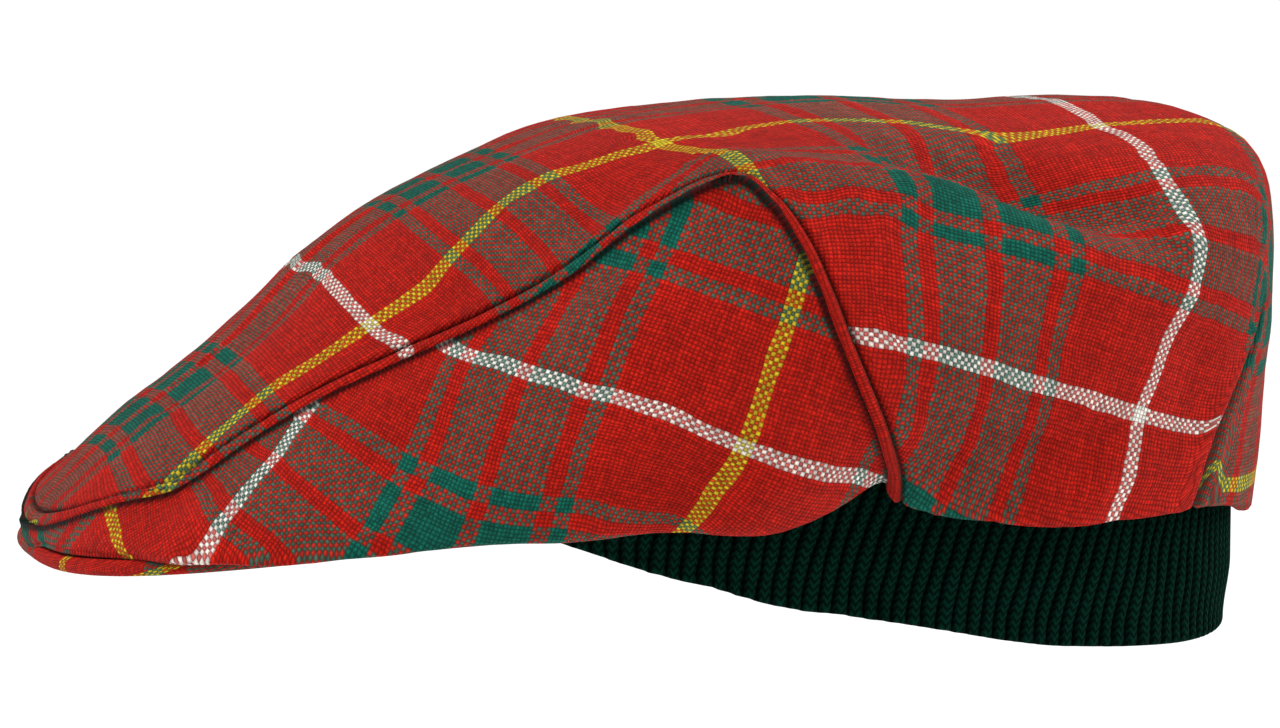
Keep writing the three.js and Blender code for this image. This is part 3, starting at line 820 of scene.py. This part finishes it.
def crownPiece(material):
    rows, sides = crownGrid()
    columns = sides.shape[1]
    dartColumn = crown["middleColumns"] + len(dartColumns)
    r, s = np.repeat(rows, columns), sides.ravel()
    base = crownSurface(r, s)
    normals = surfaceNormals(crownSurface, r, s, crown["seatRow"])
    grid = base.reshape(len(rows), columns, 3)
    fromSeam, upright = seamDistances(base)
    lap = alongSeam(fromSeam, upright, lapProfile, uprightProfile)
    margin = smoothStep((fromSeam - crown["plainMargin"]) / crown["foldMargin"])
    folds = foldHeights(crownFolds, base, grid) * margin
    dart, dartShade = [values.ravel() for values in dartGroove(grid, rows, dartColumn)]
    # Painted shade in the seams' grooves and creases, and along the dart.
    paintedShades = np.maximum(alongSeam(fromSeam, upright, lapShade, uprightShade), dartShade)
    paintedShades = paintedShades.reshape(grid.shape[:2])
    sag = smoothStep((s - crown["sagStart"]) / crown["sagRise"])
    sag = -crown["rightSag"] * (sag * smoothStep((1 - s) / crown["sagEnd"])) * margin
    halves = []
    for seed, foldShare, sagShare in ((11, 1.0, 0), (47, crown["rightFoldShare"], 1)):
        fine = creases(base, seed)
        # The lap itself is lumpy over its turned-in cloth.
        lumps = crown["lapLumps"] * wander(base, crown["lumpSize"], seed + 5)
        lumps = lumps * smoothStep(1 - (fromSeam - crown["lapWidth"]) / crown["lapEnd"])
        lift = lap + folds * foldShare + fine * margin + lumps + dart + sag * sagShare
        halves.append((base + normals * lift[:, None]).reshape(grid.shape))
    rising = smoothStep((rows - crown["hemStart"]) / crown["hemRise"])
    drop = np.interp(sides, *hemDrop.T) * rising[:, None]
    halves = [addHem(half + drop[:, :, None] * np.array([0, 0, 1])) for half in halves]
    addStitches("lapTopstitch", halves, rows)

    # The weave is laid flat with the folds only. The middle of the crown keeps to one yarn.
    sheet = (base + normals * folds[:, None]).reshape(grid.shape)
    across, along = [seenPlaces(lines, sheet) for lines in (crownAcross, crownAlong)]
    middleRows = np.arange(0.2, crown["seatRow"], 0.5)
    none = np.zeros(len(middleRows))
    across = (np.concatenate([across[0], crownSurface(middleRows, none)]),
              np.concatenate([across[1], none]))
    topRow = int(np.abs(rows - dartTop).argmin())
    inner, outer = clothPlaces(sheet, crown["steps"], (across, along), crown["pull"],
                               (topRow, dartColumn))

    # The edge of the upright seam is cut where the cloth is all red.
    upper = rows >= crown["apexRow"] + seamStrip["after"]
    strip = np.arange(columns) >= columns - seamStrip["columns"]
    ahead = np.arange(len(rows)) * seamStrip["perRow"]
    ahead = seamStrip["yarn"] + np.abs((ahead % (2 * seamStrip["yarns"])) - seamStrip["yarns"])
    inwards = edgeDistances[seamStrip["columns"] - 1::-1] / tartan["pitch"]
    for side in (inner, outer):
        side[np.ix_(upper, strip, [0])] = (seamStrip["yarn"] - middleYarn) + inwards[None, :, None]
        side[np.ix_(upper, strip, [1])] = ahead[upper][:, None, None]
    inner, outer = addHemYarns(inner), addHemYarns(outer)
    start, flip = np.array([middleYarn, 0]), np.array([-1, 1])
    left, right = halves
    points = np.concatenate([mirrored(right)[:, :0:-1], left], axis=1)
    innerWide, outerWide = [np.concatenate([(side * flip + start)[:, :0:-1], side + start], axis=1)
                            for side in (inner, outer)]
    last = columns - 1
    blocks = [(last - dartColumn, outerWide), (last + dartColumn, innerWide), (2 * last, outerWide)]
    paintedShades = np.concatenate([paintedShades] + [paintedShades[-1:]] * len(hemRoll))
    paintedShades = np.concatenate([paintedShades[:, :0:-1], paintedShades], axis=1)
    return gridPiece("crownCloth", points, blocks, paintedShades, material, "crown",
                     crown["wall"])


stitches = {
    "pitch": 3.1, "length": 2.0, "width": 0.8, "depth": 0.6, "sunk": 0.15, "endMargin": 2,  # mm
    "inset": 12,  # column of the groove, counted from the edge
    "stopBefore": 0.3,  # sections before the seams meet
    "colour": "1a0c08", "roughness": 0.6,
}


# Short dark stitches in the groove beside the lapped edge, round the front and up both sides.
def addStitches(name, halves, rows):
    inset = stitches["inset"]
    stop = int(np.abs(rows - crown["apexRow"] + stitches["stopBefore"]).argmin())
    routes = []
    for half, side in zip(halves, (1, -1)):
        route = np.concatenate([half[inset, :-inset - 1], half[inset:stop, -inset - 1]])
        routes.append(route * np.array([side, 1, 1]))
    line = np.concatenate([routes[1][:0:-1], routes[0]])
    arc = arcLength(line)
    size = Matrix.Diagonal([stitches[way] / 2 * mm for way in ("length", "width", "depth")] + [1])
    bm = bmesh.new()
    for at in np.arange(stitches["endMargin"], arc[-1] - stitches["endMargin"], stitches["pitch"]):
        place, ahead = [np.array([np.interp(spot, arc, line[:, axis]) for axis in range(3)])
                        for spot in (at, at + 1)]
        inwards = stitches["sunk"] * place / np.linalg.norm(place)
        turn = Vector(ahead - place).to_track_quat("X", "Z").to_matrix().to_4x4()
        seat = Matrix.Translation(Vector(place - inwards) * mm)
        bmesh.ops.create_uvsphere(bm, u_segments=6, v_segments=4, radius=1,
                                  matrix=seat @ turn @ size)
    for face in bm.faces:
        face.smooth = True
    thread = plainMaterial("dark polyester sewing thread", stitches["colour"],
                           stitches["roughness"])
    return finishPiece(name, bm, thread)


dartSeam = {
    "opening": 0.25,  # sections over which it opens
    "reach": 14,  # columns on both sides
    "puff": 0.6, "puffWidth": 5, "dip": 1.5, "dipWidth": 1.3,  # mm
    # painted shade along the dart's groove, and its width in mm
    "shade": 0.6, "shadeWidth": 0.8,
}


# Heights of the dart, a stitched line that dips between two slightly puffed edges, and the painted
# shade along its groove.
def dartGroove(grid, rows, column):
    heights, paintedShades = np.zeros(grid.shape[:2]), np.zeros(grid.shape[:2])
    depth = smoothStep((rows - dartTop) / dartSeam["opening"])
    for at in range(column - dartSeam["reach"], column + dartSeam["reach"]):
        distance = np.linalg.norm(grid[:, at] - grid[:, column], axis=1)
        puff, dip, shade = [dartSeam[name] * np.exp(-(distance / dartSeam[name + "Width"]) ** 2)
                            for name in ("puff", "dip", "shade")]
        heights[:, at] = depth * (puff - dip)
        paintedShades[:, at] = depth * shade
    return heights, paintedShades


creaseSizes = [(0.55, 26), (0.30, 11), (0.14, 5)]  # height and width in mm


def creases(points, seed):
    return sum(height * wander(points, size, seed + step)
               for step, (height, size) in enumerate(creaseSizes))


openingY = 20  # middle of the opening


# Adds rows that carry the cloth down round the hem and in towards the middle of the opening.
def addHem(grid):
    last = grid[-1]
    away = last - np.array([0, openingY, 0])
    away[:, 2] = 0
    away /= np.linalg.norm(away, axis=1, keepdims=True)
    onward = last - grid[-3]
    onward /= np.linalg.norm(onward, axis=1, keepdims=True)
    added = [last - away * inward + onward * down for inward, down in hemRoll]
    return np.concatenate([grid, np.array(added)])


# The weave goes on round the hem by one yarn a row.
def addHemYarns(yarns):
    step = yarns[-1] - yarns[-2]
    step /= np.linalg.norm(step, axis=1, keepdims=True)
    added = [yarns[-1] + step * (index + 1) for index in range(len(hemRoll))]
    return np.concatenate([yarns, np.array(added)])


# Sections and shares of the way down at which a panel's mesh has its rows and columns.
def panelGrid():
    last = len(panelSections["seam"]) - 1
    dense = np.linspace(0, last, 1200)
    arc = arcLength(panelSection(dense, np.zeros(len(dense))))
    near = edgeDistances[-1]
    even = np.linspace(0, arc[-1] - near, panel["rows"])[:-1]
    rows = np.interp(np.concatenate([even, arc[-1] - edgeDistances[::-1]]), arc, dense)
    share = np.linspace(0, 1, 300)
    downs = []
    for row in rows:
        length = arcLength(panelSurface(np.full(len(share), row), share))
        scale = min(1, length[-1] / panel["shortest"])
        even = np.linspace(near * scale, length[-1], panel["columns"])[1:]
        downs.append(np.interp(np.concatenate([edgeDistances * scale, even]), length, share))
    return rows, np.array(downs), last


def panelPieces(material):
    rows, downs, last = panelGrid()
    r, d = np.repeat(rows, downs.shape[1]), downs.ravel()
    base = panelSurface(r, d)
    normals = -surfaceNormals(panelSurface, r, d, last)
    grid = base.reshape(downs.shape + (3,))
    fromSeam, upright = seamDistances(base)
    sunk = alongSeam(fromSeam, upright, sunkProfile, sunkUprightProfile)
    margin = smoothStep((fromSeam - panel["plainMargin"]) / panel["foldMargin"])
    margin = margin * smoothStep((1 - d) / panel["foldShare"])
    folds = foldHeights(panelFolds, base, grid) * margin
    rim = panel["rimDrop"] * smoothStep(1 - (1 - d) / panel["rimShare"])
    nose = smoothStep(1 - np.abs(base[:, 0]) / panel["noseHalfWidth"])
    nose = nose * smoothStep((panel["noseY"] - base[:, 1]) / panel["noseDepth"])
    rim = rim - panel["noseTuck"] * nose
    # Painted shade in the crease under the crown's lapped edge, and where the cloth turns under at
    # the rim.
    paintedShades = alongSeam(fromSeam, upright, sunkShade, sunkShade)
    under = panel["rimShade"] * smoothStep(1 - (1 - d) / panel["rimShadeShare"])
    paintedShades = np.maximum(paintedShades, under).reshape(downs.shape)
    sheet = (base + normals * folds[:, None]).reshape(grid.shape)
    marks = [seenPlaces(lines, sheet) for lines in (panelAcross, panelAlong)]
    yarns = clothPlaces(sheet.transpose(1, 0, 2), panel["steps"], marks, panel["pull"])[0]
    blocks = [(downs.shape[1], yarns.transpose(1, 0, 2))]
    for name, seed, foldShare in (("left", 23, 1.0), ("right", 61, panel["rightFoldShare"])):
        fine = creases(base, seed) * margin
        lift = sunk + folds * foldShare + fine + rim
        points = (base + normals * lift[:, None]).reshape(grid.shape)
        if name == "right":
            points = mirrored(points)
        gridPiece(name + "SideCloth", points, blocks, paintedShades, material,
                  "side_panel_" + name, panel["wall"])


peak = {
    "halfWidth": 82, "tipY": -157.4, "rootY": -66, "fullness": 2.9, "thickness": 3.4,
    "browHalfWidth": 64, "browFrontY": -98, "browRootY": -62,
    "rimTipZ": -18.2, "rimRootZ": -8.9, "browTipZ": -5.0, "browRootZ": -6.0,
    "across": 150, "deep": 18, "round": 9,
    "crowding": 0.6,  # power that draws the rings together at the edge
    "stitchInset": 3.2, "stitchDepth": 0.5, "stitchHalfWidth": 0.7,  # mm, a sewn groove
    "weave": (60, 197),  # mm from a white line to the origin, across and along
    "fall": 2,  # mm along the weave for each mm down
}


# Outline with full corners: a fullness of 2 gives an ellipse, and more is squarer.
def superellipse(halfWidth, depth, fullness, turn):
    power = 2 / fullness
    return (halfWidth * np.sign(np.sin(turn)) * np.abs(np.sin(turn)) ** power,
            depth * np.sign(np.cos(turn)) * np.abs(np.cos(turn)) ** power)


# The peak's outer edge (rim) and its hidden edge at the forehead (brow).
def peakEdges(turn):
    x, y = superellipse(peak["halfWidth"], peak["tipY"] - peak["rootY"], peak["fullness"], turn)
    lift = 1 - np.cos(turn)
    rim = stack(x, peak["rootY"] + y, between(peak["rimTipZ"], peak["rimRootZ"], lift))
    brow = stack(peak["browHalfWidth"] * np.sin(turn),
                 between(peak["browFrontY"], peak["browRootY"], lift),
                 between(peak["browTipZ"], peak["browRootZ"], lift))
    return rim, brow


def peakPiece(material):
    turn = (np.linspace(0, 1, peak["across"] + 1) - 0.5) * math.pi
    rim, brow = peakEdges(turn)
    half = peak["thickness"] / 2
    up = np.array([0, 0, 1])
    out = rim - brow
    width = np.linalg.norm(out, axis=1, keepdims=True)
    out = out / width
    middle = -half * up
    rings = []
    inset = np.linspace(0, 1, peak["deep"]) ** peak["crowding"]
    for share in inset:
        fromEdge = (width - half) * (1 - share) + half
        groove = np.exp(-((fromEdge - peak["stitchInset"]) / peak["stitchHalfWidth"]) ** 2)
        rise = (half - peak["stitchDepth"] * groove) * up
        rings.append(brow + half * out + out * (width - 2 * half) * share + middle + rise)
    for angle in np.linspace(90, -90, peak["round"])[1:-1]:
        a = math.radians(angle)
        rings.append(rim - half * out + middle + half * (math.cos(a) * out + math.sin(a) * up))
    for share in inset[::-1]:
        rings.append(brow + half * out + out * (width - 2 * half) * share + middle - half * up)
    for angle in np.linspace(-90, -270, peak["round"])[1:-1]:
        a = math.radians(angle)
        rings.append(brow + half * out + middle + half * (math.cos(a) * out + math.sin(a) * up))
    bm, layer = gridMesh(np.array(rings + rings[:1]).transpose(1, 0, 2))
    bmesh.ops.remove_doubles(bm, verts=bm.verts, dist=1e-6)
    bmesh.ops.holes_fill(bm, edges=[edge for edge in bm.edges if edge.is_boundary], sides=0)
    repeat = tartan["pitch"] * tartan["sett"]
    for face in bm.faces:
        face.smooth = True
        for loop in face.loops:
            x, y, z = loop.vert.co / mm
            across, along = x + peak["weave"][0], y - peak["fall"] * z + peak["weave"][1]
            loop[layer].uv = (across / repeat, along / repeat)
    return finishPiece("peakBoard", bm, material, "peak")


band = {
    "halfWidth": 85.2, "backY": 111.6, "fullness": 2.7, "wall": 3.0,
    "curl": 1.6, "curlShare": 0.4,  # mm inwards, over the lowest share
    "ribPitch": 3.3, "ribDepth": 1.2, "ribFullness": 0.45, "stitch": 1.7,
    "perRib": 8, "down": 26, "round": 7, "inside": 10,
    "stray": 0.5, "wobble": 0.3, "wobbleWidth": 9.1, "tuck": 0.15,  # mm
    "strays": [(5.5, 2.5, 7), (2.1, 5, 3)],  # mm across, turns on the way down, and a seed
    "leanPower": 1.6, "flarePower": 2,
}
# Angles from the wearer's left towards the back, the two edges, and how far the ribs lean at the
# top and flare at the bottom.
bandRows = table(
    ["angle", "topZ", "lowZ", "lean", "flare"],
    [
        [-24, -5, -12.5, 2, 0], [-7, 2, -22.6, 5, 0], [2, 5, -30.0, 11, 0], [17, 4, -36.4, 14, 0],
        [29, 2, -38.6, 12, 1], [45, 0, -39.8, 8, 4], [65, -2, -39.6, 4, 6], [90, -3, -39.4, 0, 0],
    ],
)


# Ribs are not straight: each strays a little sideways on its way down.
def strayRibs(length, share):
    stray = [sum(noise.noise(Vector((at / width, share * turns, seed)))
                 for width, turns, seed in band["strays"]) for at in length]
    return band["stray"] * np.array(stray)


def bandPiece(material):
    first = bandRows["angle"][0]
    angles = np.arange(first, 180 - first + 0.01, 0.1)
    x, y = superellipse(band["halfWidth"], band["backY"], band["fullness"], np.radians(90 - angles))
    arc = arcLength(np.stack([x, y], 1))
    ribs = round(arc[-1] / band["ribPitch"])
    index = np.arange(ribs * band["perRib"] + 1)
    length = index / index[-1] * arc[-1]
    phase = length / arc[-1] * ribs
    angle = np.interp(length, arc, angles)
    places = np.interp(np.minimum(angle, 180 - angle), bandRows["angle"],
                       np.arange(len(bandRows["angle"])))
    at = rowsAt(bandRows, places)
    ahead = np.stack([np.interp(length + 1, arc, way) - np.interp(length - 1, arc, way)
                      for way in (x, y)], 1)
    ahead /= np.linalg.norm(ahead, axis=1, keepdims=True)
    inward = np.stack([-ahead[:, 1], ahead[:, 0]], 1)
    turned = np.where(angle > 90, -1, 1)
    lean, flare = at["lean"] * turned, at["flare"] * turned
    wall = band["wall"]
    radius = wall / 2
    # Down the outside, round the lower edge and up the inside: share, depth and how far below.
    steps = [(share, 0, 0) for share in np.linspace(0, 1, band["down"])]
    for a in np.radians(np.linspace(0, 180, band["round"])[1:-1]):
        steps.append((1, radius * (1 - math.cos(a)), radius * math.sin(a)))
    steps += [(share, wall, 0) for share in np.linspace(1, 0, band["inside"])]
    bulge = np.abs(np.sin(math.pi * phase)) ** band["ribFullness"]
    rings, yarns = [], []
    for share, depth, under in steps:
        shift = lean * (1 - share) ** band["leanPower"] + flare * share ** band["flarePower"]
        slid = length + shift + strayRibs(length, share)
        curl = band["curl"] * smoothStep((share - 1 + band["curlShare"]) / band["curlShare"])
        face = 1 if depth < radius else -1
        drop = band["ribDepth"] * (1 - bulge) * face * math.cos(math.pi * min(depth / wall, 1)) ** 2
        wobble = band["wobble"] * np.sin(length / band["wobbleWidth"] + share * 2) * share
        depths = depth + curl + drop - band["tuck"] + wobble
        near = np.stack([np.interp(slid, arc, way) for way in (x, y)], 1) + inward * depths[:, None]
        z = between(at["topZ"], at["lowZ"] + radius, share) - under
        rings.append(np.column_stack([near, z]))
        yarns.append(np.column_stack([phase, -(z + depth) / band["stitch"]]))
    points = np.array(rings)
    bm, layer = gridMesh(points)
    uvs = np.array(yarns).reshape(-1, 2)
    for face in bm.faces:
        for loop in face.loops:
            loop[layer].uv = uvs[loop.vert.index]
    rows, columns = points.shape[:2]
    ends = set(range(columns)) | set(range((rows - 1) * columns, rows * columns))
    boundary = [edge for edge in bm.edges if edge.is_boundary]
    top = [edge for edge in boundary if all(vert.index in ends for vert in edge.verts)]
    bmesh.ops.bridge_loops(bm, edges=top)
    bmesh.ops.holes_fill(bm, edges=[edge for edge in bm.edges if edge.is_boundary], sides=0)
    return finishPiece("knitBand", bm, material, "knit_band")


crownPiece(tweedMaterial("brushed tartan tweed, crown"))
panelPieces(tweedMaterial("brushed tartan tweed, sides"))
peakPiece(tweedMaterial("brushed tartan tweed, peak"))
bandPiece(knitMaterial("dark worsted rib knit"))

# Metres, watts and the sun's strength.
studio = {
    "floorZ": -0.3, "floorSize": 60, "floorColour": "fcfcfc", "floorRoughness": 0.9,
    "roomLight": 0.36,
    "softboxes": [
        ("key", (0.9, -1.9, 1.4), 0.9, 14),
        ("fill", (0.5, 1.8, 1.0), 1.0, 30),
    ],
    "skylight": 2.6, "skyAngle": 40, "skyFrom": (0.15, -0.5, 1.0),
}
bm = bmesh.new()
bmesh.ops.create_grid(bm, x_segments=1, y_segments=1, size=studio["floorSize"] / 2)
bmesh.ops.translate(bm, vec=(0, 0, studio["floorZ"]), verts=bm.verts)
floorData = bpy.data.meshes.new("floor")
bm.to_mesh(floorData)
bm.free()
floor = bpy.data.objects.new("floor", floorData)
bpy.context.collection.objects.link(floor)
floorData.materials.append(plainMaterial("white paper sweep", studio["floorColour"],
                                         studio["floorRoughness"]))

world = bpy.data.worlds.new("studio")
world.use_nodes = True
background = world.node_tree.nodes["Background"]
setInputs(background, {"Color": (1, 1, 1, 1), "Strength": studio["roomLight"]})
bpy.context.scene.world = world


# Puts a light in the room. It shines along its own -Z, which is turned along one way.
def addLight(light, place, way):
    lamp = bpy.data.objects.new(light.name, light)
    lamp.location = place
    lamp.rotation_euler = Vector(way).to_track_quat("-Z", "Y").to_euler()
    bpy.context.collection.objects.link(lamp)


for name, place, size, watts in studio["softboxes"]:
    light = bpy.data.lights.new(name, "AREA")
    light.size = size
    light.energy = watts
    addLight(light, place, -Vector(place))
skylight = bpy.data.lights.new("skylight", "SUN")
skylight.energy = studio["skylight"]
skylight.angle = math.radians(studio["skyAngle"])
addLight(skylight, (0, 0, 0), -Vector(studio["skyFrom"]))
print("lit the studio")

away = cameraWays()[0]
lens = bpy.data.objects.new("camera", bpy.data.cameras.new("camera"))
lens.data.lens = camera["lens"]
lens.data.sensor_width = camera["sensor"]
lens.location = Vector(camera["target"]) + away * camera["distance"]
lens.rotation_euler = (-away).to_track_quat("-Z", "Y").to_euler()
bpy.context.collection.objects.link(lens)
bpy.context.scene.camera = lens
bpy.context.scene.view_settings.view_transform = "Standard"
